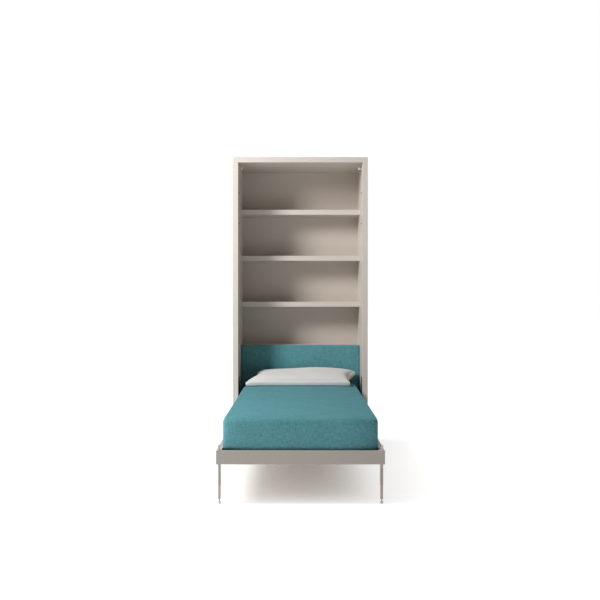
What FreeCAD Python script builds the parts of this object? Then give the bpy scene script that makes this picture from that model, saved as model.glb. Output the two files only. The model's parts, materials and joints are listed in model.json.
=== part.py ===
import FreeCAD, Part
import math
import os

os.makedirs("parts", exist_ok=True)
Vector = FreeCAD.Vector

# Upright single fold-down bed in an open cabinet with shelves behind it, bed down.
# Millimetres, X to the right, Y towards the wall, Z up. While it is modelled, Y is 0 at the cabinet's front.

# Mattress, which sets the size of the rest
mattress_length = 1950.0
mattress_width = 850.0
mattress_height = 176.0
mattress_crown = 9.0
crown_share = 0.65
crown_shoulder = 140.0
crown_middle = 315.0
mattress_bulge = 8.0
mattress_corner = 60.0
mattress_edge = 20.0
cover_thickness = 2.5
soft_gap = 0.3

# Pillow
pillow_width = 800.0
pillow_depth = 320.0
pillow_thickness = 118.0
pillow_drawn_in = 18.0
pillow_tilt = 10.0
pillow_wall_gap = 12.0
pillow_offset = 15.0

# Cabinet
cabinet_depth = 560.0
panel_thickness = 40.0
back_thickness = 18.0
back_recess = 10.0
base_thickness = 20.0
base_height = 60.0
fascia_thickness = 18.0
glide_thickness = 3.0
glide_radius = 15.0
glide_inset = 45.0
edge_radius = 1.5

# Shelves and headboard
shelf_setback = 311.0
shelf_thickness = 40.0
shelf_count = 3
bottom_niche_share = 0.934
shelf_pin_radius = 4.0
shelf_pin_depth = 18.0
shelf_pin_inset = 40.0
headboard_top = 783.0
headboard_bottom = 250.0
headboard_board_thickness = 18.0
headboard_pad_thickness = 20.0
headboard_pad_edge = 12.0
headboard_side_gap = 1.0
ledge_thickness = 18.0

# Wall fixing
wall_rail_height = 60.0
wall_rail_thickness = 4.0
wall_rail_side_gap = 25.0
wall_hole_radius = 4.5
wall_hole_inset = 75.0
wall_hole_drop = 40.0

# Bed frame
bed_underside = 228.0
frame_height = 76.0
foot_board_thickness = 25.0
foot_board_radius = 2.0
front_panel_thickness = 18.0
front_panel_head = 250.0
bed_side_gap = 4.0
rail_width = 30.0
rail_wall = 2.0
rail_radius = 3.0
rail_head_end = -60.0
mattress_side_gap = 16.0
mattress_head_gap = 52.0
mattress_foot_gap = 8.0
closed_top_gap = 11.0
swing_gap = 10.0

# Slat base
slat_base_height = 50.0
slat_count = 14
slat_width = 60.0
slat_thickness = 8.0
slat_bow = 5.0
slat_gap = 0.5
beam_width = 32.0
beam_height = 31.0
beam_rail_gap = 4.0
beam_foot_gap = 44.0
holder_length = 30.0
holder_wall = 5.0
crossbar_width = 28.0
crossbar_height = 26.0

# Fold mechanism
pivot_height = 344.0
plate_thickness = 3.0
plate_radius = 12.0
plate_screw_radius = 2.5
plate_screw_head = 5.0
plate_screw_head_height = 0.8
plate_screw_depth = 12.0
# outline of the plate and its screws, from the pivot
plate_outline = ((-45, 205), (5, 205), (95, 60), (95, -75), (60, -118), (0, -118), (-95, -35), (-95, 60))
screw_spots = ((-78, 55), (78, 55), (-78, -15), (78, -45), (-20, 180))
pin_radius = 8.0
pin_head_radius = 11.0
pin_head_thickness = 2.0
bush_wall = 3.0
bush_flange_radius = 15.0
bush_flange = 2.5
arm_thickness = 6.0
arm_height = 44.0
arm_in_rail = 160.0
arm_boss_radius = 26.0
arm_bolt_radius = 4.0
arm_bolt_head = 7.0
arm_bolt_head_height = 1.2
arm_nut_height = 5.0
arm_bolt_inset = 30.0
run_gap = 0.05
play = 0.5

# Gas struts, between a wall stud and a stud on the arm at one radius about the pivot
strut_wall_angle = -70.0
strut_bed_angle = -160.0
strut_rail_gap = 6.0
cylinder_radius = 8.0
cylinder_bore = 6.0
cylinder_neck = 4.0
strut_end_gap = 19.0
rod_radius = 4.0
piston_radius = 5.4
piston_length = 8.0
piston_margin = 2.0
eye_radius = 9.0
eye_width = 12.0
stud_radius = 4.0
stud_collar = 6.5
stud_head_thickness = 2.5

# Legs
leg_radius = 9.0
leg_tip_radius = 8.0
leg_sleeve_end = 104.0
leg_tip_end = 27.0
leg_tip_grip = 75.0
leg_neck_radius = 5.0
leg_ball_radius = 8.5
leg_ball_flat = 0.5
leg_stud_radius = 3.0
leg_stud_length = 28.0
leg_cap = 9.0
leg_shaft_radius = 6.0
leg_shaft_lift = 13.0
leg_shaft_inset = 19.0
leg_wall_gap = 4.0
leg_slot_gap = 1.0
leg_slot_end_gap = 5.0

# Catches on the rails and latch pins in the cabinet
catch_width = 10.0
catch_length = 32.0
catch_height = 28.0
catch_setback = 23.0
catch_axis_height = 16.0
latch_pin_radius = 5.0
latch_ball_radius = 11.0
latch_pin_length = 18.0
latch_flange_radius = 11.0
latch_flange = 2.0

# Small caps over the wall screws
cap_radius = 6.0
cap_thickness = 6.0
cap_inset = 86.0
cap_pitch = 236.0
cap_drop = 223.0

# Places that follow from the sizes
bed_half = mattress_width / 2 + mattress_side_gap + rail_width
inner_half = bed_half + bed_side_gap
outer_half = inner_half + panel_thickness
mattress_head = shelf_setback - mattress_head_gap
mattress_foot = mattress_head - mattress_length
foot_back = mattress_foot - mattress_foot_gap
foot_face = foot_back - foot_board_thickness
bed_top = bed_underside + frame_height
deck = bed_underside + front_panel_thickness
mattress_bottom = deck + slat_base_height
pivot_y = pivot_height - bed_underside
pivot_z = pivot_height
ceiling = pivot_z + pivot_y - foot_face + closed_top_gap
cabinet_height = ceiling + panel_thickness
front_y = -(foot_face + cabinet_depth) / 2
back_face = cabinet_depth - back_recess - back_thickness
back_rear = cabinet_depth - back_recess
rail_inner = bed_half - rail_width
rail_inside = rail_inner + rail_wall
rail_outside = bed_half - rail_wall
plate_face = inner_half - plate_thickness
arm_outer = rail_outside
arm_inner = arm_outer - arm_thickness
strut_x = arm_inner - strut_rail_gap - cylinder_radius
strut_radius = pivot_z - deck - eye_radius - swing_gap / 2
niche_space = ceiling - headboard_top - shelf_count * shelf_thickness
niche_height = niche_space / (shelf_count + bottom_niche_share)
shelf_tops = [ceiling - niche_height - i * (niche_height + shelf_thickness) for i in range(shelf_count)]
shelf_mids = [top - shelf_thickness / 2 for top in shelf_tops]
shelf_pin_rows = (shelf_setback + shelf_pin_inset, back_face - shelf_pin_inset)
wall_hole_z = ceiling - wall_hole_drop
leg_x = rail_inside + leg_wall_gap + leg_radius
leg_y = foot_back + leg_shaft_inset
leg_z = deck + leg_shaft_lift
catch_y = foot_face + catch_setback
catch_z = bed_top + catch_axis_height
latch_y = pivot_y + catch_z - pivot_z
latch_z = pivot_z + pivot_y - catch_y
sides = (("left", -1), ("right", 1))
made = {}


def box(x, y, z):
    corner = Vector(x[0], y[0], z[0])
    return Part.makeBox(x[1] - x[0], y[1] - y[0], z[1] - z[0], corner)


def round_bar(radius, start, end):
    axis = end - start
    return Part.makeCylinder(radius, axis.Length, start, axis)


def bar_x(radius, x, y, z):
    return round_bar(radius, Vector(x[0], y, z), Vector(x[1], y, z))


def bar_z(radius, x, y, z):
    return round_bar(radius, Vector(x, y, z[0]), Vector(x, y, z[1]))


def fused(first, *others):
    return first.fuse(list(others)).removeSplitter()


def prism(points, along):
    wire = Part.makePolygon(points + points[:1])
    return Part.Face(wire).extrude(along)


# A turned piece: straight steps that start on the axis, then one arc through a point, back to the axis line
def turned(steps, arc):
    edges = [Part.LineSegment(steps[i], steps[i + 1]).toShape() for i in range(len(steps) - 1)]
    edges.append(Part.Arc(steps[-1], arc[0], arc[1]).toShape())
    if (arc[1] - steps[0]).Length > 0:
        edges.append(Part.LineSegment(arc[1], steps[0]).toShape())
    return Part.Face(Part.Wire(edges)).revolve(steps[0], arc[1] - steps[0], 360)


def yz_plate(points, x):
    return prism([Vector(x[0], y, z) for y, z in points], Vector(x[1] - x[0], 0, 0))


def rounded(shape, radius, direction, keep=lambda middle: True):
    edges = []
    for edge in shape.Edges:
        ends = [vertex.Point for vertex in edge.Vertexes]
        if len(ends) < 2:
            continue
        run = ends[1] - ends[0]
        along = abs(run.dot(direction)) > 0.999 * run.Length
        if along and keep((ends[0] + ends[1]) / 2):
            edges.append(edge)
    return shape.makeFillet(radius, edges)


def at_front(front):
    return lambda middle: abs(middle.y - front) < edge_radius


def mirrored(shape, side):
    if side > 0:
        return shape
    return shape.mirror(Vector(0, 0, 0), Vector(1, 0, 0))


def save(node, *solids):
    shape = solids[0] if len(solids) == 1 else Part.makeCompound(list(solids))
    shape = shape.copy()
    shape.translate(Vector(0, front_y, 0))
    for solid in shape.Solids:
        if not solid.isValid() or solid.Volume <= 0:
            raise ValueError(node + " has a bad solid")
    shape.exportStep("parts/" + node + ".step")
    made[node] = shape


def save_pair(name, shape):
    for word, side in sides:
        save(name + "_" + word, mirrored(shape, side))


# Outline with straight sides and round corners, centred on the given point
def soft_outline(centre, half_x, half_y, corner):
    flat_x = half_x - corner
    flat_y = half_y - corner
    turns = ((1, 1, 0), (-1, 1, 90), (-1, -1, 180), (1, -1, 270))
    edges = []
    ends = []
    for sign_x, sign_y, start in turns:
        middle = centre + Vector(sign_x * flat_x, sign_y * flat_y, 0)
        arc = []
        for angle in (start, start + 45, start + 90):
            turn = math.radians(angle)
            arc.append(middle + Vector(math.cos(turn), math.sin(turn), 0) * corner)
        edges.append(Part.Arc(*arc).toShape())
        ends.append((arc[0], arc[2]))
    wire = []
    for i, edge in enumerate(edges):
        wire.append(edge)
        wire.append(Part.LineSegment(ends[i][1], ends[(i + 1) % 4][0]).toShape())
    return Part.Wire(wire)


# Cabinet carcass
plate_screws_at = [(pivot_y + y, pivot_z + z) for y, z in screw_spots]


def shelf_pin(y, z):
    return bar_x(shelf_pin_radius, (inner_half - shelf_pin_depth, inner_half + shelf_pin_depth), y, z)


def shelf_pin_holes(mids):
    holes = []
    for z in mids:
        for y in shelf_pin_rows:
            reach = shelf_pin_depth + play
            ends = (inner_half - reach, inner_half + reach)
            holes.append(bar_x(shelf_pin_radius + run_gap, ends, y, z))
    return holes


def side_panel():
    outline = [
        Vector(inner_half, 0, glide_thickness),
        Vector(outer_half, 0, glide_thickness),
        Vector(outer_half, 0, cabinet_height),
        Vector(inner_half, 0, ceiling),
    ]
    panel = prism(outline, Vector(0, cabinet_depth, 0))
    panel = rounded(panel, edge_radius, Vector(0, 0, 1), at_front(0))
    screw_ends = (inner_half - play, inner_half + plate_screw_depth + play)
    holes = [bar_x(plate_screw_radius + run_gap, screw_ends, y, z) for y, z in plate_screws_at]
    return panel.cut(holes + shelf_pin_holes(shelf_mids))


def top_panel():
    outline = [
        Vector(-outer_half, 0, cabinet_height),
        Vector(outer_half, 0, cabinet_height),
        Vector(inner_half, 0, ceiling),
        Vector(-inner_half, 0, ceiling),
    ]
    panel = prism(outline, Vector(0, cabinet_depth, 0))
    return rounded(panel, edge_radius, Vector(1, 0, 0), at_front(0))


def back_panel():
    panel = box((-inner_half, inner_half), (back_face, back_rear), (glide_thickness, ceiling))
    return panel.cut(wall_holes())


def wall_holes():
    holes = []
    for side in (-1, 1):
        start = Vector(side * (inner_half - wall_hole_inset), back_face - play, wall_hole_z)
        end = start + Vector(0, cabinet_depth - back_face + play, 0)
        holes.append(round_bar(wall_hole_radius, start, end))
    return holes


def wall_rail():
    half = inner_half - wall_rail_side_gap
    low = wall_hole_z - wall_rail_height / 2
    rail = box((-half, half), (back_rear, back_rear + wall_rail_thickness), (low, low + wall_rail_height))
    return rail.cut(wall_holes())


def shelf(top):
    board = box((-inner_half, inner_half), (shelf_setback, back_face), (top - shelf_thickness, top))
    board = rounded(board, edge_radius, Vector(1, 0, 0), at_front(shelf_setback))
    holes = shelf_pin_holes([top - shelf_thickness / 2])
    return board.cut(holes + [mirrored(hole, -1) for hole in holes])


def floor_glides():
    middle = inner_half + panel_thickness / 2
    rows = (glide_inset, cabinet_depth - glide_inset)
    return [bar_z(glide_radius, side * middle, y, (0, glide_thickness)) for side in (-1, 1) for y in rows]


# The head end of the bed swings down past the fascia and the base
head_sweep = math.hypot(front_panel_head - pivot_y, pivot_z - bed_underside)
fascia_drop = math.sqrt(head_sweep ** 2 - (pivot_y - fascia_thickness) ** 2)
fascia_top = pivot_z - fascia_drop - swing_gap

save_pair("side_panel", side_panel())
save("top_panel", top_panel())
save("base_panel", box((-inner_half, inner_half), (fascia_thickness, back_face),
                       (base_height, base_height + base_thickness)))
save("lower_fascia", box((-inner_half, inner_half), (0, fascia_thickness), (glide_thickness, fascia_top)))
save("back_panel", back_panel())
save("wall_rail", wall_rail())
save("floor_glides", *floor_glides())
for name, top in zip(("upper", "middle", "lower"), shelf_tops):
    save("shelf_" + name, shelf(top))
right_pins = [shelf_pin(y, z) for z in shelf_mids for y in shelf_pin_rows]
save("shelf_pins", *[mirrored(pin, side) for pin in right_pins for side in (-1, 1)])


# Padded headboard, its board and the ledge on top behind it
def headboard_pad():
    half_x = inner_half - headboard_side_gap
    half_z = (headboard_top - headboard_bottom) / 2
    # depth behind the face and how far the outline is drawn in there
    steps = ((1.0, 0.0), (0.35, 0.0), (0.1, 0.2), (0.0, 1.0))
    sections = []
    for depth, drawn in steps:
        inset = drawn * headboard_pad_edge
        corner = headboard_pad_edge * 1.5 - inset
        outline = soft_outline(Vector(0, 0, 0), half_x - inset, half_z - inset, corner)
        outline.rotate(Vector(0, 0, 0), Vector(1, 0, 0), 90)
        middle = headboard_bottom + half_z
        outline.translate(Vector(0, shelf_setback + depth * headboard_pad_thickness, middle))
        sections.append(outline)
    return Part.makeLoft(sections, True, True)


board_front = shelf_setback + headboard_pad_thickness
board_back = board_front + headboard_board_thickness
save("headboard_pad", headboard_pad())
save("headboard_board", box((-inner_half, inner_half), (board_front, board_back),
                            (headboard_bottom, headboard_top)))
save("headboard_ledge", box((-inner_half, inner_half), (board_back, back_face),
                            (headboard_top - ledge_thickness, headboard_top)))


# Latch pins and wall caps
def latch_pin():
    ball = inner_half - latch_pin_length
    neck = inner_half - latch_flange
    shoulder = ball + math.sqrt(latch_ball_radius ** 2 - latch_pin_radius ** 2)
    profile = [
        (inner_half, 0),
        (inner_half, latch_flange_radius),
        (neck, latch_flange_radius),
        (neck, latch_pin_radius),
        (shoulder, latch_pin_radius),
    ]
    tip = [(ball, latch_ball_radius), (ball - latch_ball_radius, 0)]
    return turned([Vector(x, latch_y, latch_z + r) for x, r in profile],
                  [Vector(x, latch_y, latch_z + r) for x, r in tip])


def wall_caps():
    caps = []
    for i in range(2):
        z = ceiling - cap_drop - i * cap_pitch
        cap = bar_x(cap_radius, (inner_half - cap_thickness, inner_half), cap_inset, z)
        caps += [mirrored(cap, side) for side in (-1, 1)]
    return caps


save_pair("latch_pin", latch_pin())
save("wall_caps", *wall_caps())


# Fold mechanism on the wall side
def around_pivot(angle, radius):
    turn = math.radians(angle)
    return pivot_y + radius * math.cos(turn), pivot_z + radius * math.sin(turn)


wall_stud_at = around_pivot(strut_wall_angle, strut_radius)
bed_stud_at = around_pivot(strut_bed_angle, strut_radius)
stud_tip = strut_x - eye_width / 2 - play
stud_seat = strut_x + eye_width / 2 + play


def mechanism_plate():
    outline = [(pivot_y + y, pivot_z + z) for y, z in plate_outline]
    plate = yz_plate(outline, (plate_face, inner_half))
    plate = rounded(plate, plate_radius, Vector(1, 0, 0))
    ends = (plate_face - play, inner_half + play)
    holes = [bar_x(plate_screw_radius + run_gap, ends, y, z) for y, z in plate_screws_at]
    holes.append(bar_x(pin_radius + run_gap, ends, pivot_y, pivot_z))
    holes.append(bar_x(stud_radius + run_gap, ends, *wall_stud_at))
    return plate.cut(holes)


def plate_screw(y, z):
    shank = bar_x(plate_screw_radius, (plate_face, inner_half + plate_screw_depth), y, z)
    head = bar_x(plate_screw_head, (plate_face - plate_screw_head_height, plate_face), y, z)
    return fused(shank, head)


def pivot_pin():
    head_end = arm_inner - play
    shank = bar_x(pin_radius, (head_end, inner_half), pivot_y, pivot_z)
    head = bar_x(pin_head_radius, (head_end - pin_head_thickness, head_end), pivot_y, pivot_z)
    return fused(shank, head)


# A stud that carries a strut eye, standing on a plate with its far face at the root
def strut_stud(face, root, at):
    shank = bar_x(stud_radius, (stud_tip, root), *at)
    collar = bar_x(stud_collar, (stud_seat, face), *at)
    head = bar_x(stud_collar, (stud_tip - stud_head_thickness, stud_tip), *at)
    return fused(shank, collar, head)


save_pair("mechanism_plate", mechanism_plate())
right_screws = [plate_screw(y, z) for y, z in plate_screws_at]
save("plate_screws", *[mirrored(screw, side) for screw in right_screws for side in (-1, 1)])
save_pair("pivot_pin", pivot_pin())
save_pair("strut_wall_stud", strut_stud(plate_face, inner_half, wall_stud_at))


# Fold mechanism on the bed side
arm_low = (deck + bed_top - arm_height) / 2
arm_bolts_at = [(rail_head_end - arm_in_rail + arm_bolt_inset, (deck + bed_top) / 2),
                (rail_head_end - 2 * arm_bolt_inset, (deck + bed_top) / 2)]


def hinge_arm():
    root = rail_head_end - arm_in_rail
    lean = math.atan2(pivot_z - arm_low - arm_height / 2, pivot_y - rail_head_end)
    across = (-math.sin(lean) * arm_boss_radius, math.cos(lean) * arm_boss_radius)
    outline = (
        (root, arm_low),
        (rail_head_end, arm_low),
        (pivot_y - across[0], pivot_z - across[1]),
        (pivot_y + across[0], pivot_z + across[1]),
        (rail_head_end, arm_low + arm_height),
        (root, arm_low + arm_height),
    )
    ends = (arm_inner, arm_outer)
    arm = fused(yz_plate(outline, ends), bar_x(arm_boss_radius, ends, pivot_y, pivot_z))
    wide = (arm_inner - play, arm_outer + play)
    holes = [bar_x(pin_radius + bush_wall + run_gap, wide, pivot_y, pivot_z)]
    holes.append(bar_x(stud_radius + run_gap, wide, *bed_stud_at))
    holes += [bar_x(arm_bolt_radius + run_gap, wide, y, z) for y, z in arm_bolts_at]
    return arm.cut(holes)


def arm_bolt(y, z):
    shank = bar_x(arm_bolt_radius, (arm_inner - arm_nut_height, bed_half), y, z)
    head = bar_x(arm_bolt_head, (bed_half, bed_half + arm_bolt_head_height), y, z)
    nut = bar_x(arm_bolt_head, (arm_inner - arm_nut_height, arm_inner), y, z)
    return fused(shank, head, nut)


def pivot_bush():
    sleeve = bar_x(pin_radius + bush_wall, (arm_inner, arm_outer), pivot_y, pivot_z)
    flange = bar_x(bush_flange_radius, (arm_outer, arm_outer + bush_flange), pivot_y, pivot_z)
    bore = bar_x(pin_radius + run_gap, (arm_inner - play, plate_face), pivot_y, pivot_z)
    return fused(sleeve, flange).cut(bore)


save_pair("hinge_arm", hinge_arm())
right_bolts = [arm_bolt(y, z) for y, z in arm_bolts_at]
save("arm_bolts", *[mirrored(bolt, side) for bolt in right_bolts for side in (-1, 1)])
save_pair("pivot_bush", pivot_bush())
save_pair("strut_bed_stud", strut_stud(arm_inner, arm_outer, bed_stud_at))

# Gas struts: the rod runs in the bored cylinder along the line between the two studs
wall_stud = Vector(strut_x, *wall_stud_at)
bed_stud = Vector(strut_x, *bed_stud_at)
strut_line = bed_stud - wall_stud
strut_open = strut_line.Length
strut_line.normalize()
spread = strut_wall_angle - strut_bed_angle + 90
strut_closed = 2 * strut_radius * math.sin(math.radians(spread / 2))
cylinder_length = strut_open - eye_radius - strut_end_gap
rod_length = strut_closed - cylinder_length + cylinder_neck + piston_length + piston_margin
bore_start = strut_open - rod_length - 2 * piston_margin


def strut_eye(at):
    ends = (strut_x - eye_width / 2, strut_x + eye_width / 2)
    return bar_x(eye_radius, ends, at.y, at.z)


def eye_hole(at):
    ends = (strut_x - eye_width, strut_x + eye_width)
    return bar_x(stud_radius + run_gap, ends, at.y, at.z)


def strut_cylinder():
    start = wall_stud + strut_line * (stud_collar + play)
    end = wall_stud + strut_line * cylinder_length
    body = round_bar(cylinder_radius, start, end)
    neck = end - strut_line * cylinder_neck
    bore = round_bar(cylinder_bore, wall_stud + strut_line * bore_start, neck)
    mouth = round_bar(rod_radius + play, neck - strut_line * play, end + strut_line * play)
    return fused(body, strut_eye(wall_stud)).cut([bore, mouth, eye_hole(wall_stud)])


def strut_rod():
    end = bed_stud - strut_line * rod_length
    rod = round_bar(rod_radius, bed_stud, end)
    piston = round_bar(piston_radius, end, end + strut_line * piston_length)
    return fused(rod, piston, strut_eye(bed_stud)).cut(eye_hole(bed_stud))


save_pair("strut_cylinder", strut_cylinder())
save_pair("strut_rod", strut_rod())

# Bed frame: foot board, hollow rails and the panel that closes the cabinet when the bed is up
leg_slot_x = (leg_x - leg_radius - leg_slot_gap, leg_x + leg_radius + leg_slot_gap)
leg_slot_y = (leg_y - leg_radius - leg_slot_gap, leg_y + leg_z + leg_slot_end_gap)


def leg_slot(z):
    return box(leg_slot_x, leg_slot_y, z)


def foot_board():
    board = box((-bed_half, bed_half), (foot_face, foot_back), (bed_underside, bed_top))
    board = rounded(board, foot_board_radius, Vector(1, 0, 0), at_front(foot_face))
    return rounded(board, foot_board_radius, Vector(0, 0, 1), at_front(foot_face))


def front_panel():
    panel = box((-bed_half, bed_half), (foot_back, front_panel_head), (bed_underside, deck))
    panel = rounded(panel, edge_radius, Vector(0, 1, 0), lambda middle: middle.z < deck)
    slot = leg_slot((bed_underside - play, deck + play))
    return panel.cut([slot, mirrored(slot, -1)])


def rail():
    tube = box((rail_inner, bed_half), (foot_back, rail_head_end), (deck, bed_top))
    tube = rounded(tube, rail_radius, Vector(0, 1, 0), lambda middle: middle.z > deck)
    hollow = box((rail_inside, rail_outside), (foot_back - play, rail_head_end + play),
                 (deck + rail_wall, bed_top - rail_wall))
    holes = [bar_x(arm_bolt_radius + run_gap, (rail_outside - play, bed_half + play), y, z)
             for y, z in arm_bolts_at]
    holes.append(bar_x(leg_shaft_radius + run_gap, (rail_inner - play, rail_inside + play), leg_y, leg_z))
    return tube.cut([hollow, leg_slot((deck - play, deck + rail_wall + play))] + holes)


# A block on the corner of the frame with a slot, open at the top, that takes the ball of the latch pin
def catch():
    x = (inner_half - latch_pin_length - catch_width / 2, inner_half - latch_pin_length + catch_width / 2)
    block = box(x, (catch_y - catch_length / 2, catch_y + catch_length / 2), (bed_top, bed_top + catch_height))
    block = rounded(block, 2 * edge_radius, Vector(1, 0, 0), lambda middle: middle.z > bed_top)
    half = latch_ball_radius + play
    wide = (x[0] - play, x[1] + play)
    slot = box(wide, (catch_y - half, catch_y + half), (catch_z, bed_top + catch_height + play))
    return block.cut([slot, bar_x(half, wide, catch_y, catch_z)])


save("foot_board", foot_board())
save("front_panel", front_panel())
save_pair("rail", rail())
save_pair("catch", catch())

# Slat base: beams, crossbars, bowed slats and the holders of their ends
beam_outer = rail_inner - beam_rail_gap
beam_inner = beam_outer - beam_width
beam_foot = foot_back + beam_foot_gap
beam_top = deck + beam_height
slat_low = mattress_bottom - slat_gap - slat_bow - slat_thickness
slat_end = beam_outer - holder_wall
slat_first = beam_foot + crossbar_width + slat_width
slat_last = front_panel_head - crossbar_width - slat_width
slat_pitch = (slat_last - slat_first) / (slat_count - 1)
slat_rows = [slat_first + i * slat_pitch for i in range(slat_count)]


def slat_arc(z, y):
    ends = (Vector(-slat_end, y, z), Vector(slat_end, y, z))
    return Part.Arc(ends[0], Vector(0, y, z + slat_bow), ends[1]).toShape(), ends


def slat(y):
    low, low_ends = slat_arc(slat_low, y - slat_width / 2)
    high, high_ends = slat_arc(slat_low + slat_thickness, y - slat_width / 2)
    rise = [Part.LineSegment(low_ends[i], high_ends[i]).toShape() for i in range(2)]
    wire = Part.Wire([low, rise[1], high, rise[0]])
    return Part.Face(wire).extrude(Vector(0, slat_width, 0))


def slat_holder(y):
    half = slat_width / 2
    x = (beam_outer - holder_length, beam_outer)
    top = slat_low + slat_thickness + slat_bow
    block = box(x, (y - half - holder_wall, y + half + holder_wall), (beam_top, top))
    pocket = box((x[0] - play, slat_end + slat_gap), (y - half - slat_gap, y + half + slat_gap),
                 (slat_low - slat_gap, slat_low + slat_thickness + slat_bow / 2))
    return block.cut(pocket)


save_pair("slat_beam", box((beam_inner, beam_outer), (beam_foot, front_panel_head), (deck, beam_top)))
save("foot_crossbar", box((-beam_inner, beam_inner), (beam_foot, beam_foot + crossbar_width),
                          (deck, deck + crossbar_height)))
save("head_crossbar", box((-beam_inner, beam_inner), (front_panel_head - crossbar_width, front_panel_head),
                          (deck, deck + crossbar_height)))
save("slats", *[slat(y) for y in slat_rows])
right_holders = [slat_holder(y) for y in slat_rows]
save("slat_holders", *[mirrored(holder, side) for holder in right_holders for side in (-1, 1)])

# Mattress with a crowned top, round edges and slightly full sides, and the fitted cover over it
mattress_middle = Vector(0, (mattress_head + mattress_foot) / 2, 0)


# Outlines from the bottom up: how far each is drawn in and how high it lies
def mattress_levels(offset):
    full = mattress_bulge
    edge = mattress_edge
    high = mattress_height
    levels = (
        (2 * edge_radius, 0),
        (-full, edge),
        (-full, high - 1.5 * edge),
        (-full / 2, high - 0.75 * edge),
        (edge / 4, high - edge / 4),
        (edge, high),
        (crown_shoulder, high + crown_share * mattress_crown),
        (crown_middle, high + mattress_crown),
    )
    return [(inset - offset, z + offset * z / (high + mattress_crown)) for inset, z in levels]


def mattress_form(offset):
    sections = []
    for inset, z in mattress_levels(offset):
        corner = max(mattress_corner - inset, mattress_corner / 3)
        centre = mattress_middle + Vector(0, 0, mattress_bottom + z)
        half_x = mattress_width / 2 - inset
        half_y = mattress_length / 2 - inset
        sections.append(soft_outline(centre, half_x, half_y, corner))
    return Part.makeLoft(sections, True, True)


def mattress_cover():
    shell = mattress_form(soft_gap + cover_thickness).cut(mattress_form(soft_gap))
    hem = mattress_bottom + soft_gap + cover_thickness
    reach = mattress_length + mattress_width
    room = box((-reach, reach), (-reach, reach), (hem, hem + 2 * mattress_height))
    return shell.common(room)


save("mattress", mattress_form(0))
save("mattress_cover", mattress_cover())


# Pillow outline: four arcs between its corners, drawn in at the middle of each side
def pillow_outline(half_x, half_y, drawn_in, z):
    corners = [Vector(x * half_x, y * half_y, z) for x, y in ((-1, -1), (1, -1), (1, 1), (-1, 1))]
    middles = [Vector(0, drawn_in - half_y, z), Vector(half_x - drawn_in, 0, z),
               Vector(0, half_y - drawn_in, z), Vector(drawn_in - half_x, 0, z)]
    edges = [Part.Arc(corners[i], middles[i], corners[(i + 1) % 4]).toShape() for i in range(4)]
    return Part.Wire(edges)


def pillow():
    # share of the thickness, how far the outline is drawn in as a share of the depth, and of its side arcs
    steps = ((0.0, 0.2, 0.2), (0.14, 0.07, 0.5), (0.38, 0.0, 1.0), (0.66, 0.07, 0.4), (0.88, 0.2, -0.5),
             (1.0, 0.34, -0.5))
    sections = []
    for up, inset, drawn in steps:
        shrink = inset * pillow_depth
        half_x = pillow_width / 2 - shrink
        half_y = pillow_depth / 2 - shrink
        sections.append(pillow_outline(half_x, half_y, drawn * pillow_drawn_in, up * pillow_thickness))
    form = Part.makeLoft(sections, True, True)
    contact = pillow_depth / 2 - steps[0][1] * pillow_depth
    form.rotate(Vector(0, -contact, 0), Vector(1, 0, 0), pillow_tilt)
    lift = steps[0][2] * pillow_drawn_in * math.sin(math.radians(pillow_tilt))
    back = shelf_setback - pillow_wall_gap - form.BoundBox.YMax
    inset = mattress_head - back + contact
    share = crown_share + (1 - crown_share) * (inset - crown_shoulder) / (crown_middle - crown_shoulder)
    surface = mattress_bottom + mattress_height + share * mattress_crown + cover_thickness + soft_gap
    form.translate(Vector(pillow_offset, back, surface + soft_gap - lift))
    return form


save("pillow", pillow())


# Legs on one shaft across the foot end
def leg_tube():
    tube = bar_z(leg_radius, leg_x, leg_y, (leg_sleeve_end, leg_z + leg_cap))
    bore_end = leg_sleeve_end + leg_tip_grip + play
    bore = bar_z(leg_tip_radius + run_gap, leg_x, leg_y, (leg_sleeve_end - play, bore_end))
    ends = (leg_x - 2 * leg_radius, leg_x + 2 * leg_radius)
    return tube.cut([bore, bar_x(leg_shaft_radius + run_gap, ends, leg_y, leg_z)])


def leg_tip():
    tip = bar_z(leg_tip_radius, leg_x, leg_y, (leg_tip_end, leg_sleeve_end + leg_tip_grip))
    bore_end = leg_tip_end + leg_stud_length + play
    return tip.cut(bar_z(leg_stud_radius + run_gap, leg_x, leg_y, (leg_tip_end - play, bore_end)))


def leg_foot():
    middle = leg_ball_radius - leg_ball_flat
    stud_end = leg_tip_end + leg_stud_length
    shoulder = middle + math.sqrt(leg_ball_radius ** 2 - leg_neck_radius ** 2)
    profile = [
        (stud_end, 0),
        (stud_end, leg_stud_radius),
        (leg_tip_end, leg_stud_radius),
        (leg_tip_end, leg_neck_radius),
        (shoulder, leg_neck_radius),
    ]
    tip = [(middle, leg_ball_radius), (middle - leg_ball_radius, 0)]
    foot = turned([Vector(leg_x + r, leg_y, z) for z, r in profile],
                  [Vector(leg_x + r, leg_y, z) for z, r in tip])
    return foot.common(bar_z(2 * leg_ball_radius, leg_x, leg_y, (0, stud_end + play)))


shaft_end = leg_x + leg_radius
save("leg_shaft", bar_x(leg_shaft_radius, (-shaft_end, shaft_end), leg_y, leg_z))
save_pair("leg_tube", leg_tube())
save_pair("leg_tip", leg_tip())
save_pair("leg_foot", leg_foot())

whole = Part.makeCompound(list(made.values())).BoundBox
print(len(made), "nodes", "box", [round(v, 2) for v in (whole.XMin, whole.XMax, whole.YMin, whole.YMax)],
      [round(v, 2) for v in (whole.ZMin, whole.ZMax)])
print("cabinet", round(outer_half * 2, 1), round(cabinet_height, 1), "pivot", round(pivot_y + front_y, 2), pivot_z)
print("wall stud", [round(v, 3) for v in (wall_stud.x, wall_stud.y + front_y, wall_stud.z)])
print("bed stud", [round(v, 3) for v in (bed_stud.x, bed_stud.y + front_y, bed_stud.z)])
print("leg shaft", round(leg_y + front_y, 3), round(leg_z, 3))
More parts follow.
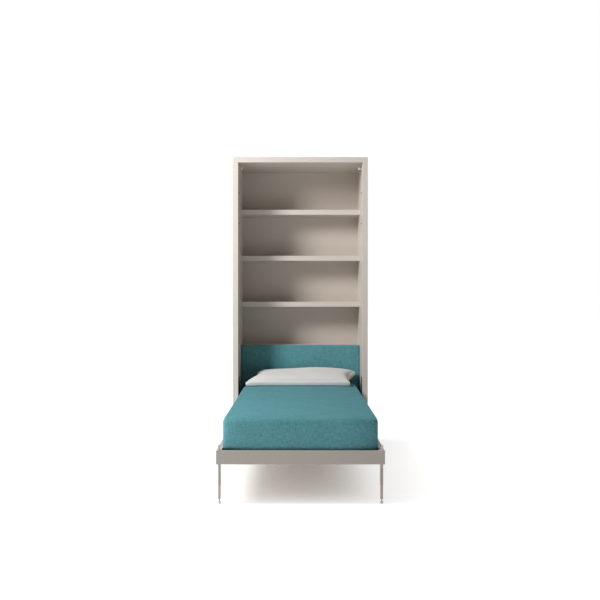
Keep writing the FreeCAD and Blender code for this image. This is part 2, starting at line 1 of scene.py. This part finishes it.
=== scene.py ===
import bpy
import bmesh
import json
import math
from mathutils import Matrix, Vector


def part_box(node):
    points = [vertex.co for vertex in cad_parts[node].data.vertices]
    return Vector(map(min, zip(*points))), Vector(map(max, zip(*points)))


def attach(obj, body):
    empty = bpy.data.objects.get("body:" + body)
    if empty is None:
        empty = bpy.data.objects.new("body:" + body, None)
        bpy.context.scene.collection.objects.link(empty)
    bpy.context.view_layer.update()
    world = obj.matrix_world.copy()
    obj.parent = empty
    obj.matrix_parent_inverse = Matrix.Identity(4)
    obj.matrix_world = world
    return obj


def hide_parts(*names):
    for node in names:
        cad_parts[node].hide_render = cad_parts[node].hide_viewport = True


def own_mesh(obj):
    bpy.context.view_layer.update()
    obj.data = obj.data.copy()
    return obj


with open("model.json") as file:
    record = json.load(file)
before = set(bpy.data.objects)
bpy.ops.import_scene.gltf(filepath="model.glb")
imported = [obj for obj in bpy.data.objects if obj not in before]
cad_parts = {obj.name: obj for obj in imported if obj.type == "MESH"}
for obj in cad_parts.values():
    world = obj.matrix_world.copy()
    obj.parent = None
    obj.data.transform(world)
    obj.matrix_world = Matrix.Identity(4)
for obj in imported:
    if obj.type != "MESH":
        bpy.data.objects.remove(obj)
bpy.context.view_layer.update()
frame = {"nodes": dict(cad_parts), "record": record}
nodes = frame["nodes"]
scene = bpy.context.scene
scene.view_settings.view_transform = "Standard"
print("frame loaded:", len(nodes), "nodes")

# the cabinet's faces that other things are set out from
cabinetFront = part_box("side_panel_left")[0].y
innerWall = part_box("side_panel_right")[0].x
quarterTurn = math.radians(90)

# camera, level and square to the cabinet
cameraSet = {"aside": -0.0027, "distance": 6.363, "height": 1.144, "lens": 50.0, "sensor": 36.0,
             "farthest": 100}


def addCamera():
    data = bpy.data.cameras.new("camera")
    data.lens = cameraSet["lens"]
    data.sensor_width = cameraSet["sensor"]
    data.sensor_fit = "HORIZONTAL"
    data.clip_end = cameraSet["farthest"]
    camera = bpy.data.objects.new("camera", data)
    camera.location = (cameraSet["aside"], cabinetFront - cameraSet["distance"], cameraSet["height"])
    camera.rotation_euler = (quarterTurn, 0, 0)
    scene.collection.objects.link(camera)
    scene.camera = camera


# material tools
def newMaterial(name):
    mat = bpy.data.materials.new(name)
    mat.use_nodes = True
    return mat, mat.node_tree, mat.node_tree.nodes["Principled BSDF"]


def setInputs(node, values):
    for key, value in values.items():
        node.inputs[key].default_value = value


def addNode(tree, kind, values=None, **settings):
    node = tree.nodes.new(kind)
    for key, value in settings.items():
        setattr(node, key, value)
    setInputs(node, values or {})
    return node


def coordsNode(tree, kind):
    return addNode(tree, "ShaderNodeTexCoord").outputs[kind]


def mathNode(tree, operation, first, second):
    node = addNode(tree, "ShaderNodeMath", operation=operation)
    for i, value in enumerate((first, second)):
        if isinstance(value, (int, float)):
            node.inputs[i].default_value = value
        else:
            tree.links.new(value, node.inputs[i])
    return node.outputs[0]


def noiseNode(tree, coords, scale, detail, stretch=(1, 1, 1), rough=0.5):
    mapping = addNode(tree, "ShaderNodeMapping", {"Scale": stretch})
    tree.links.new(coords, mapping.inputs["Vector"])
    tex = addNode(tree, "ShaderNodeTexNoise", {"Scale": scale, "Detail": detail, "Roughness": rough})
    tree.links.new(mapping.outputs[0], tex.inputs["Vector"])
    return tex.outputs["Fac"]


def rampNode(tree, value, stops):
    ramp = addNode(tree, "ShaderNodeValToRGB")
    elements = ramp.color_ramp.elements
    while len(elements) < len(stops):
        elements.new(0.5)
    for element, (position, color) in zip(elements, stops):
        element.position = position
        element.color = (*color, 1)
    tree.links.new(value, ramp.inputs["Fac"])
    return ramp.outputs["Color"]


def rangeNode(tree, value, low, high):
    node = addNode(tree, "ShaderNodeMapRange", {"To Min": low, "To Max": high})
    tree.links.new(value, node.inputs["Value"])
    return node.outputs["Result"]


def bumpNode(tree, shader, height, strength, distance):
    bump = addNode(tree, "ShaderNodeBump", {"Strength": strength, "Distance": distance})
    tree.links.new(height, bump.inputs["Height"])
    tree.links.new(bump.outputs["Normal"], shader.inputs["Normal"])


# rays that see the white surround: the camera's, and those off gloss and through glass
def seenDirectly(tree):
    path = addNode(tree, "ShaderNodeLightPath")
    total = path.outputs["Is Camera Ray"]
    for ray in ("Is Glossy Ray", "Is Transmission Ray"):
        total = mathNode(tree, "MAXIMUM", total, path.outputs[ray])
    return total


# one broad lamp high on the left, a little past the foot of the bed, set out from the cabinet's front
lampSet = {"place": (-2.55, -2.15, 3.1), "aim": (0.0, -0.6, 0.3), "size": (0.88, 1.35), "power": 162}


def addLamp():
    data = bpy.data.lights.new("key lamp", "AREA")
    data.shape = "RECTANGLE"
    data.size, data.size_y = lampSet["size"]
    data.energy = lampSet["power"]
    lamp = bpy.data.objects.new("key lamp", data)
    offset = Vector((0, cabinetFront, 0))
    lamp.location = Vector(lampSet["place"]) + offset
    aim = Vector(lampSet["aim"]) + offset - lamp.location
    lamp.rotation_euler = aim.to_track_quat("-Z", "Y").to_euler()
    scene.collection.objects.link(lamp)


# white where it is seen, a faint warm light on the object
worldSet = {"thrown": 0.05, "thrownColor": (1.0, 0.9, 0.8), "seen": 1.0, "seenColor": (1.0, 1.0, 1.0)}


def addWorld():
    world = bpy.data.worlds.new("surround")
    world.use_nodes = True
    tree = world.node_tree
    background = tree.nodes["Background"]
    seen = seenDirectly(tree)
    tint = rampNode(tree, seen, ((0, worldSet["thrownColor"]), (1, worldSet["seenColor"])))
    tree.links.new(tint, background.inputs["Color"])
    strength = rangeNode(tree, seen, worldSet["thrown"], worldSet["seen"])
    tree.links.new(strength, background.inputs["Strength"])
    scene.world = world


# pale floor that glows and throws light back on the object, a painted bounce; its glow runs out to white
# wherever little stands within reach over it and dims to a warm dark where things stand over it, a painted
# shadow
floorSet = {
    "half": 30, "rough": 0.9,
    "thrown": 0.515, "thrownColor": (0.972, 0.964, 0.947),
    "seen": 1.0, "seenColor": (0.435, 0.427, 0.414),  # deeper under its glow, for a soft edge to the shadow
    "reach": 1.1, "samples": 16, "curve": 2.4,
    # emission colour from open to covered: white glow in the open, dimming to a warm dark under things as a
    # painted shadow
    "glow": ((0, (1.0, 1.0, 1.0)), (0.042, (0.815, 0.81, 0.8)), (1, (0.035, 0.015, 0.0))),  # open to covered
}


def addFloor():
    bm = bmesh.new()
    bmesh.ops.create_grid(bm, x_segments=2, y_segments=2, size=floorSet["half"])
    mesh = bpy.data.meshes.new("floor")
    bm.to_mesh(mesh)
    bm.free()
    floor = bpy.data.objects.new("floor", mesh)
    scene.collection.objects.link(floor)
    mat, tree, shader = newMaterial("pale floor")
    shader.inputs["Roughness"].default_value = floorSet["rough"]
    seen = seenDirectly(tree)
    tint = rampNode(tree, seen, ((0, floorSet["thrownColor"]), (1, floorSet["seenColor"])))
    tree.links.new(tint, shader.inputs["Base Color"])
    # painted shadow: the glow dims by how much stands over the floor within reach
    above = addNode(tree, "ShaderNodeAmbientOcclusion", {"Distance": floorSet["reach"]},
                    samples=floorSet["samples"])
    covered = mathNode(tree, "SUBTRACT", 1, above.outputs["AO"])
    covered = mathNode(tree, "POWER", covered, floorSet["curve"])
    tree.links.new(rampNode(tree, covered, floorSet["glow"]), shader.inputs["Emission Color"])
    # the same glow lights the object as painted bounce light; seen directly it is white
    strength = rangeNode(tree, seen, floorSet["thrown"], floorSet["seen"])
    tree.links.new(strength, shader.inputs["Emission Strength"])
    mat.cycles.emission_sampling = "NONE"
    mesh.materials.append(mat)


addCamera()
addLamp()
addWorld()
addFloor()
print("camera, lamp and floor are set")


def shade(color, factor):
    return tuple(min(1.0, part * factor) for part in color)


# base colour that drifts between a darker and a lighter tone of one colour
def linkTones(tree, shader, value, color, tones, ends=(0.3, 0.7)):
    stops = [(end, shade(color, tone)) for end, tone in zip(ends, tones)]
    tree.links.new(rampNode(tree, value, stops), shader.inputs["Base Color"])


# roughness that drifts below and above its middle value
def linkRough(tree, shader, value, rough, spread):
    tree.links.new(rangeNode(tree, value, rough - spread[0], rough + spread[1]), shader.inputs["Roughness"])


# in the finishes a noise is its scale and detail, and a bump is its strength and distance

# satin lacquer: faint drift of tone, fine spray texture
lacquerSet = {"drift": (2.3, 4), "tones": (0.965, 1.02), "haze": (38, 5), "spread": (0.07, 0.07),
              "peel": (620, 2), "bump": (0.06, 0.0004), "specular": 0.42}


def lacquer(name, color, rough):
    spec = lacquerSet
    mat, tree, shader = newMaterial(name)
    coords = coordsNode(tree, "Object")
    linkTones(tree, shader, noiseNode(tree, coords, *spec["drift"]), color, spec["tones"])
    linkRough(tree, shader, noiseNode(tree, coords, *spec["haze"]), rough, spec["spread"])
    bumpNode(tree, shader, noiseNode(tree, coords, *spec["peel"]), *spec["bump"])
    shader.inputs["Specular IOR Level"].default_value = spec["specular"]
    return mat


# powder coat on steel: fine grains, rubbed a little
coatSet = {"grains": (900, 3), "tones": (0.93, 1.05), "rub": (24, 5), "spread": (0.1, 0.1),
           "bump": (0.12, 0.0003)}


def powderCoat(name, color, rough):
    spec = coatSet
    mat, tree, shader = newMaterial(name)
    coords = coordsNode(tree, "Object")
    grains = noiseNode(tree, coords, *spec["grains"])
    linkTones(tree, shader, grains, color, spec["tones"])
    linkRough(tree, shader, noiseNode(tree, coords, *spec["rub"]), rough, spec["spread"])
    bumpNode(tree, shader, grains, *spec["bump"])
    return mat


# plain weave cloth with a melange of light and dark yarns, on the piece's own UV map in metres
weaveSet = {
    "pitch": 0.0022, "thin": 330, "long": 30, "yarnRough": 0.6, "ends": (0.37, 0.63),
    "fleck": (130, 4), "fleckRough": 0.7, "mottle": (52, 4), "mottleRough": 0.65, "cloud": (7, 3),
    "shares": {"warp": 0.29, "weft": 0.29, "fleck": 0.17, "mottle": 0.17, "cloud": 0.08},
    "threads": {"Distortion": 1.2, "Detail": 2.0, "Detail Scale": 1.4}, "bump": (0.3, 0.0008),
    "sheenTint": 1.6,
    "surface": {"Roughness": 0.92, "Specular IOR Level": 0.2, "Sheen Weight": 0.22, "Sheen Roughness": 0.45},
}


def wovenCloth(name, dark, light):
    spec = weaveSet
    mat, tree, shader = newMaterial(name)
    coords = coordsNode(tree, "UV")
    noises = {
        "warp": noiseNode(tree, coords, 1.0, 3, (spec["long"], spec["thin"], 1), spec["yarnRough"]),
        "weft": noiseNode(tree, coords, 1.0, 3, (spec["thin"], spec["long"], 1), spec["yarnRough"]),
        "fleck": noiseNode(tree, coords, *spec["fleck"], rough=spec["fleckRough"]),
        "mottle": noiseNode(tree, coords, *spec["mottle"], rough=spec["mottleRough"]),
        "cloud": noiseNode(tree, coords, *spec["cloud"]),
    }
    yarns = 0.0
    for part, share in spec["shares"].items():
        yarns = mathNode(tree, "ADD", mathNode(tree, "MULTIPLY", noises[part], share), yarns)
    stops = tuple(zip(spec["ends"], (dark, light)))
    tree.links.new(rampNode(tree, yarns, stops), shader.inputs["Base Color"])
    threads = []
    for direction in ("X", "Y"):
        wave = addNode(tree, "ShaderNodeTexWave", spec["threads"], wave_type="BANDS",
                       bands_direction=direction)
        wave.inputs["Scale"].default_value = math.pi / 10 / spec["pitch"]  # a band at scale 1 is pi / 10 wide
        tree.links.new(coords, wave.inputs["Vector"])
        threads.append(wave.outputs["Fac"])
    weave = mathNode(tree, "MULTIPLY", threads[0], threads[1])
    bumpNode(tree, shader, mathNode(tree, "ADD", weave, yarns), *spec["bump"])
    setInputs(shader, spec["surface"])
    shader.inputs["Sheen Tint"].default_value = (*shade(light, spec["sheenTint"]), 1)
    return mat


# light cotton with a fine weave and soft creases
cottonSet = {
    "cloud": (9, 4), "tones": (0.96, 1.02), "ends": (0.25, 0.75),
    "threads": (900, 900, 1), "weaveShare": 0.12,
    "crease": (9, 3), "creaseStretch": (1, 2.2, 1), "creaseShare": 0.6, "bump": (0.25, 0.005),
    "surface": {"Roughness": 0.88, "Sheen Weight": 0.15},
}


def cotton(name, color):
    spec = cottonSet
    mat, tree, shader = newMaterial(name)
    coords = coordsNode(tree, "UV")
    linkTones(tree, shader, noiseNode(tree, coords, *spec["cloud"]), color, spec["tones"], spec["ends"])
    weave = noiseNode(tree, coords, 1.0, 2, spec["threads"])
    crease = noiseNode(tree, coords, *spec["crease"], spec["creaseStretch"])
    height = mathNode(tree, "ADD", mathNode(tree, "MULTIPLY", weave, spec["weaveShare"]),
                      mathNode(tree, "MULTIPLY", crease, spec["creaseShare"]))
    bumpNode(tree, shader, height, *spec["bump"])
    setInputs(shader, spec["surface"])
    return mat


# timber with long grain, drawn out along the axis of least stretch
timberSet = {"grain": (30, 6), "grainRough": 0.6, "ends": (0.32, 0.68), "rough": (0.42, 0.6),
             "bump": (0.15, 0.0005)}


def timber(name, dark, light, stretch):
    spec = timberSet
    mat, tree, shader = newMaterial(name)
    grain = noiseNode(tree, coordsNode(tree, "Object"), *spec["grain"], stretch, spec["grainRough"])
    stops = tuple(zip(spec["ends"], (dark, light)))
    tree.links.new(rampNode(tree, grain, stops), shader.inputs["Base Color"])
    tree.links.new(rangeNode(tree, grain, *spec["rough"]), shader.inputs["Roughness"])
    bumpNode(tree, shader, grain, *spec["bump"])
    return mat


# bare or plated metal with fine drawn lines
metalSet = {"lines": (260, 4), "tones": (0.86, 1.08), "spread": (0.08, 0.1), "bump": (0.08, 0.0002)}


def drawnMetal(name, color, rough, stretch):
    spec = metalSet
    mat, tree, shader = newMaterial(name)
    lines = noiseNode(tree, coordsNode(tree, "Object"), *spec["lines"], stretch)
    linkTones(tree, shader, lines, color, spec["tones"])
    linkRough(tree, shader, lines, rough, spec["spread"])
    bumpNode(tree, shader, lines, *spec["bump"])
    shader.inputs["Metallic"].default_value = 1.0
    return mat


# moulded plastic with a fine spark-eroded grain
plasticSet = {"spark": (520, 3), "tones": (0.92, 1.06), "spread": (0.06, 0.08), "bump": (0.1, 0.0003)}


def mouldedPlastic(name, color, rough):
    spec = plasticSet
    mat, tree, shader = newMaterial(name)
    spark = noiseNode(tree, coordsNode(tree, "Object"), *spec["spark"])
    linkTones(tree, shader, spark, color, spec["tones"])
    linkRough(tree, shader, spark, rough, spec["spread"])
    bumpNode(tree, shader, spark, *spec["bump"])
    return mat


finishes = {
    "taupe_lacquer": lacquer("taupe lacquer", (0.605, 0.556, 0.505), 0.42),
    "taupe_metal": powderCoat("taupe powder coat", (0.405, 0.369, 0.334), 0.4),
    "teal_fabric": wovenCloth("teal weave", (0.05, 0.182, 0.208), (0.158, 0.408, 0.457)),
    "white_fabric": cotton("white cotton", (0.76, 0.744, 0.728)),
    "mattress_ticking": cotton("pale ticking", (0.74, 0.72, 0.68)),
    "board_core": timber("bare board", (0.42, 0.33, 0.24), (0.58, 0.48, 0.36), (1, 6, 6)),
    "beech": timber("lacquered beech", (0.50, 0.33, 0.19), (0.68, 0.49, 0.31), (0.5, 9, 9)),
    "dark_steel": powderCoat("dark steel", (0.045, 0.045, 0.05), 0.42),
    "bright_steel": drawnMetal("plated steel", (0.60, 0.60, 0.61), 0.3, (0.2, 1, 1)),
    "bronze": drawnMetal("bearing bronze", (0.55, 0.38, 0.18), 0.35, (1, 1, 0.3)),
    "black_plastic": mouldedPlastic("black plastic", (0.03, 0.03, 0.032), 0.5),
    "grey_plastic": mouldedPlastic("grey plastic", (0.62, 0.59, 0.55), 0.4),
    "pale_plastic": mouldedPlastic("pale plastic", (0.72, 0.69, 0.65), 0.38),
}

# nodes whose finish differs a little from their slot's
# the back panel is a darker, warmer copy of the taupe lacquer: painted shade in the backs of the niches
backShadeFinish = lacquer("taupe back panel painted shade", (0.545, 0.484, 0.433), 0.5)
catchFinish = powderCoat("pale powder coat", (0.62, 0.575, 0.53), 0.4)
tipFinish = powderCoat("light powder coat", (0.435, 0.397, 0.361), 0.4)
ownFinishes = {
    "back_panel": backShadeFinish,
    "catch_left": catchFinish,
    "catch_right": catchFinish,
    "leg_tip_left": tipFinish,
    "leg_tip_right": tipFinish,
    # the wall caps are darker than the walls they sit on: partly their own colour and partly painted shade,
    # so they read as dark dots on the shaded left wall
    "wall_caps": mouldedPlastic("dark brown plastic partly painted shade", (0.27, 0.24, 0.215), 0.5),
}

for part in frame["record"]["subparts"]:
    mesh = nodes[part["node"]].data
    mesh.materials.clear()
    mesh.materials.append(ownFinishes.get(part["node"], finishes[part["material_slot"]]))
print("finishes are on", len(nodes), "nodes")


# piece tools
def pieceFrom(name, bm, slot, smooth=True):
    mesh = bpy.data.meshes.new(name)
    bmesh.ops.recalc_face_normals(bm, faces=bm.faces)
    bm.to_mesh(mesh)
    bm.free()
    for polygon in mesh.polygons:
        polygon.use_smooth = smooth
    piece = bpy.data.objects.new(name, mesh)
    scene.collection.objects.link(piece)
    mesh.materials.append(finishes[slot])
    return piece


# flat cloth lengths in metres on each side of a piece, by the way each face looks
def clothUv(piece):
    mesh = piece.data
    layer = mesh.uv_layers.new(name="cloth")
    for polygon in mesh.polygons:
        normal = polygon.normal
        look = max(range(3), key=lambda i: abs(normal[i]))
        across, up = ((1, 2), (0, 2), (0, 1))[look]
        for corner in polygon.loop_indices:
            point = mesh.vertices[mesh.loops[corner].vertex_index].co
            layer.data[corner].uv = (point[across], point[up])


def settled(piece):
    graph = bpy.context.evaluated_depsgraph_get()
    mesh = bpy.data.meshes.new_from_object(piece.evaluated_get(graph))
    old = piece.data
    piece.modifiers.clear()
    piece.data = mesh
    bpy.data.meshes.remove(old)


# what all the cloths share; shear is a share of the cloth's own stiffness
clothSet = {"quality": 6, "mass": 0.25, "shear": 1 / 3}


# swell under inner pressure, each point kept within a set distance of where it began
def puffed(piece, spec, isHeld):
    start = [vertex.co.copy() for vertex in piece.data.vertices]
    held = piece.vertex_groups.new(name="held")
    held.add([i for i, point in enumerate(start) if isHeld(point)], 1.0, "REPLACE")
    modifier = piece.modifiers.new("cloth", "CLOTH")
    cloth = modifier.settings
    cloth.quality = clothSet["quality"]
    cloth.mass = clothSet["mass"]
    cloth.tension_stiffness = spec["stiff"]
    cloth.compression_stiffness = spec["stiff"]
    cloth.shear_stiffness = spec["stiff"] * clothSet["shear"]
    cloth.bending_stiffness = spec["bend"]
    cloth.use_pressure = True
    cloth.uniform_pressure_force = spec["pressure"]
    cloth.shrink_min = spec["shrink"]
    cloth.effector_weights.gravity = 0
    cloth.vertex_group_mass = "held"
    modifier.collision_settings.use_collision = False
    modifier.point_cache.frame_start = 1
    modifier.point_cache.frame_end = spec["frames"]
    for step in range(1, spec["frames"] + 1):
        scene.frame_set(step)
    settled(piece)
    for vertex, point in zip(piece.data.vertices, start):
        move = vertex.co - point
        if move.length > spec["cap"]:
            vertex.co = point + move * (spec["cap"] / move.length)
    scene.frame_set(1)


def smoother(piece):
    modifier = piece.modifiers.new("round", "SUBSURF")
    modifier.levels = 1
    modifier.render_levels = 1


# lines across one side: close together near both ends, even between
def spacing(half, close, step):
    ends = [half - offset for offset in close]
    count = max(2, round(2 * ends[-1] / step))
    even = [ends[-1] * (2 * i / count - 1) for i in range(1, count)]
    return [-value for value in ends] + even + ends


# the square edge between two faces turned into a quarter circle
def rounding(depth, drop, radius):
    if depth >= radius or drop >= radius:
        return depth, drop
    turn = math.pi / 4 * (1 + (depth - drop) / radius)
    return radius * (1 - math.cos(turn)), radius * (1 - math.sin(turn))


# close is how far from a side the mesh's first lines lie, and merge is how near a cut runs through a corner
softBoxSet = {"close": (0.004, 0.009, 0.015, 0.024, 0.038, 0.056), "merge": 1e-6}


# cuts right through a box, square to one axis
def cutAcross(bm, axis, places):
    normal = Vector([float(i == axis) for i in range(3)])
    for place in places:
        everything = bm.verts[:] + bm.edges[:] + bm.faces[:]
        bmesh.ops.bisect_plane(bm, geom=everything, dist=softBoxSet["merge"], plane_co=normal * place,
                               plane_no=normal)


# a box of even quads whose plan corners, upper and lower edges are round, standing on z = 0
def softBox(size, spec):
    half = size / 2
    plan = spec["plan"]
    low = [offset for offset in softBoxSet["close"] if offset < half.z / 2]
    bm = bmesh.new()
    bmesh.ops.create_cube(bm, size=1.0)
    bmesh.ops.scale(bm, vec=size, verts=bm.verts)
    for axis, close in enumerate((softBoxSet["close"], softBoxSet["close"], low)):
        cutAcross(bm, axis, spacing(half[axis], close, spec["step"]))
    inner = Vector((half.x - plan, half.y - plan))
    for vertex in bm.verts:
        flat = Vector((vertex.co.x, vertex.co.y))
        rise = vertex.co.z + half.z
        core = Vector([max(-limit, min(limit, value)) for value, limit in zip(flat, inner)])
        out = flat - core
        depth = plan - max(abs(out.x), abs(out.y))
        if out.length > 0:
            out = out.normalized()
        depth, drop = rounding(depth, size.z - rise, spec["upper"])
        depth, up = rounding(depth, size.z - drop, spec["lower"])
        flat = core + out * (plan - depth)
        vertex.co = (flat.x, flat.y, up)
    return bm


# mattress in its fitted cover: crowned, foot end bowed and leaning back, foot corners drawn down
coverSet = {
    "plan": 0.032, "upper": 0.017, "lower": 0.026, "step": 0.02, "wider": 0.008, "clear": 0.001,
    "crown": 0.006, "crownPowers": (4, 14), "bow": 0.02, "bowPower": 6, "lean": 0.008, "leanFrom": 0.25,
    "footPower": 9, "dip": 0.011, "corner": 0.12, "dipPowers": (1.5, 3), "held": 0.03,
    "cloth": {"pressure": 3.0, "stiff": 18, "bend": 0.6, "shrink": 0.0, "frames": 16, "cap": 0.002},
}


def makeCover():
    spec = coverSet
    low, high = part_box("mattress_cover")
    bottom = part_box("mattress")[0].z + spec["clear"]
    size = Vector((high.x - low.x + spec["wider"], high.y - low.y, high.z - spec["crown"] - bottom))
    bm = softBox(size, spec)
    middle = (low + high) / 2
    bmesh.ops.translate(bm, vec=(middle.x, middle.y, bottom), verts=bm.verts)
    acrossPower, alongPower = spec["crownPowers"]
    nearPower, liftPower = spec["dipPowers"]
    for vertex in bm.verts:
        across = min(1.0, abs(vertex.co.x - middle.x) * 2 / size.x)
        along = max(-1.0, min(1.0, (vertex.co.y - middle.y) * 2 / size.y))
        lift = (vertex.co.z - bottom) / size.z
        foot = max(0.0, -along) ** spec["footPower"]
        lean = spec["lean"] * max(0.0, lift - spec["leanFrom"])
        nearSide = max(0.0, 1 - (1 - across) * size.x / 2 / spec["corner"])
        nearFoot = max(0.0, 1 - (1 + along) * size.y / 2 / spec["corner"])
        vertex.co.y += (spec["bow"] * across ** spec["bowPower"] + lean) * foot
        vertex.co.z += spec["crown"] * (1 - across ** acrossPower) * (1 - abs(along) ** alongPower) * lift
        vertex.co.z -= spec["dip"] * (nearSide * nearFoot) ** nearPower * lift ** liftPower
    piece = pieceFrom("mattressCover", bm, "teal_fabric")
    puffed(piece, spec["cloth"], lambda point: point.z < bottom + spec["held"])
    clothUv(piece)
    smoother(piece)
    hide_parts("mattress_cover", "mattress")
    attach(piece, "bed")


# headboard pad: cloth drawn over thin foam on its board
padSet = {
    "plan": 0.008, "upper": 0.006, "lower": 0.001, "step": 0.018, "held": 0.008,
    "cloth": {"pressure": 2.0, "stiff": 20, "bend": 1.0, "shrink": 0.0, "frames": 12, "cap": 0.0015},
}


def makePad():
    low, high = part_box("headboard_pad")
    size = Vector((high.x - low.x, high.z - low.z, high.y - low.y - padSet["cloth"]["cap"]))
    bm = softBox(size, padSet)
    middle = (low + high) / 2
    stand = Matrix.Translation((middle.x, high.y, middle.z)) @ Matrix.Rotation(quarterTurn, 4, "X")
    bmesh.ops.transform(bm, matrix=stand, verts=bm.verts)
    piece = pieceFrom("headboardPad", bm, "teal_fabric")
    puffed(piece, padSet["cloth"], lambda point: point.y > high.y - padSet["held"])
    clothUv(piece)
    smoother(piece)
    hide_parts("headboard_pad")
    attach(piece, "cabinet")


# pillow: two sheets joined by a round rim and filled, lying on the cover with its back edge up the headboard
# pairs are at the front and at the back edge, except as noted
pillowSet = {
    "cells": (68, 26, 6),  # across, deep and up the rim, where an even number gives a line along the seam
    "rim": (0.021, 0.018),
    "middle": (-0.0195, 0.0485), "seam": (0.0195, 0.076), "half": (0.3855, 0.379),
    "inset": 0.015, "depth": 0.268, "gap": 0.014, "sink": 0.0035,
    "upper": 0.034, "lower": 0.05, "fillPowers": (7, 3.2),  # across and deep
    "lift": 0.003, "liftPower": 4, "drawn": 0.026, "drawnPower": 5, "bulgePower": 20, "stitch": 0.002,
    "hump": {"place": 0.12, "wide": 0.22, "more": 0.65},
    "held": 0.001, "keep": 0.3,
    "cloth": {"pressure": 2.5, "stiff": 14, "bend": 0.2, "shrink": -0.012, "frames": 18, "cap": 0.006},
}


def between(ends, share):
    return ends[0] + (ends[1] - ends[0]) * share


# the way that the rim bulges: square to each side and slantwise at the ears
def pillowOutward(along, deep):
    power = pillowSet["bulgePower"]
    back = 2 * deep - 1
    return Vector([math.copysign(abs(part) ** power, part) for part in (along, back, 0)]).normalized()


# place of one point of the pillow: along is -1 to 1 across, deep is 0 at the front to 1 at the back
# and level is 0 on the lower sheet, 1 on the upper sheet and between them on the rim
def pillowPoint(along, deep, level):
    spec = pillowSet
    acrossPower, deepPower = spec["fillPowers"]
    fill = (max(0.0, 1 - abs(along) ** acrossPower) * max(0.0, 1 - abs(2 * deep - 1) ** deepPower)) ** 0.5
    rim = between(spec["rim"], deep)
    seam = between(spec["seam"], deep) + spec["lift"] * (1 - along ** spec["liftPower"]) * (1 - deep)
    drawn = spec["drawn"] * math.sin(math.pi * deep) * abs(along) ** spec["drawnPower"]
    x = between(spec["middle"], deep) + along * between(spec["half"], deep)
    x -= math.copysign(drawn, along)
    hump = spec["hump"]
    swell = 1 + hump["more"] * math.exp(-((x - hump["place"]) / hump["wide"]) ** 2) * deep
    lower = max(0.0, seam - rim - spec["lower"] * fill)
    upper = seam + rim + spec["upper"] * fill * swell
    point = Vector((x, spec["inset"] + spec["depth"] * deep, between((lower, upper), level)))
    if 0 < level < 1:
        point += pillowOutward(along, deep) * rim * (1 - (2 * level - 1) ** 2) ** 0.5
    return point


def makePillow():
    spec = pillowSet
    bm = bmesh.new()
    bmesh.ops.create_cube(bm, size=2.0)
    bmesh.ops.translate(bm, vec=(0, 0, 1), verts=bm.verts)
    bmesh.ops.scale(bm, vec=(1, 1, 0.5), verts=bm.verts)
    for axis, count in enumerate(spec["cells"]):
        ends = ((-1, 1), (-1, 1), (0, 1))[axis]
        cutAcross(bm, axis, [between(ends, i / count) for i in range(1, count)])
    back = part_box("headboard_pad")[0].y - spec["gap"]
    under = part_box("pillow")[0].z - spec["sink"]
    rest = Vector((0, back - spec["depth"] - 2 * spec["inset"], under))
    seam = []
    for i, vertex in enumerate(bm.verts):
        along = math.sin(math.pi / 2 * vertex.co.x)
        deep = (1 + math.sin(math.pi / 2 * vertex.co.y)) / 2
        if math.isclose(vertex.co.z, 0.5, abs_tol=0.01):  # half way up the rim
            seam.append((i, pillowOutward(along, deep)))
        vertex.co = rest + pillowPoint(along, deep, vertex.co.z)
    piece = pieceFrom("bedPillow", bm, "white_fabric")
    puffed(piece, spec["cloth"], lambda point: point.z < under + spec["held"])
    for i, outward in seam:
        piece.data.vertices[i].co -= outward * spec["stitch"]
    for vertex in piece.data.vertices:
        vertex.co.z = max(vertex.co.z, under)
        vertex.co.y = min(vertex.co.y, back + spec["gap"] / 2)
    clothUv(piece)
    smoother(piece)
    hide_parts("pillow")
    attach(piece, "bed")
    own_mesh(piece)


# round caps over the two wall screws in the back panel, set out from the ceiling and the inner walls
capSet = {"radius": 0.009, "sides": 40, "thickness": 0.0016, "edge": 0.0007, "edgeSteps": 3,
          "topPanel": 0.04, "drop": 0.04, "inset": 0.075}


def makeScrewCaps():
    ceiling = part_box("top_panel")[1].z - capSet["topPanel"]
    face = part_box("back_panel")[0].y
    bm = bmesh.new()
    for side in (-1, 1):
        middle = Vector((side * (innerWall - capSet["inset"]), face, ceiling - capSet["drop"]))
        place = Matrix.Translation(middle) @ Matrix.Rotation(quarterTurn, 4, "X")
        disc = bmesh.ops.create_circle(bm, cap_ends=True, segments=capSet["sides"], radius=capSet["radius"],
                                       matrix=place)["verts"]
        raised = bmesh.ops.extrude_face_region(bm, geom=disc[0].link_faces[:])["geom"]
        lip = [item for item in raised if isinstance(item, bmesh.types.BMVert)]
        bmesh.ops.translate(bm, vec=(0, -capSet["thickness"], 0), verts=lip)
        rim = [edge for edge in bm.edges if all(vertex in lip for vertex in edge.verts)]
        bmesh.ops.bevel(bm, geom=rim, offset=capSet["edge"], segments=capSet["edgeSteps"], profile=0.5,
                        material=-1, affect="EDGES")
    piece = pieceFrom("screwCaps", bm, "taupe_lacquer", smooth=False)
    # the caps take the back panel's darker copy of the lacquer, with its painted shade
    piece.data.materials[0] = backShadeFinish
    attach(piece, "cabinet")


makeCover()
print("mattress cover is made")
makePad()
print("headboard pad is made")
makePillow()
print("pillow is made")
makeScrewCaps()
print("screw caps are made")
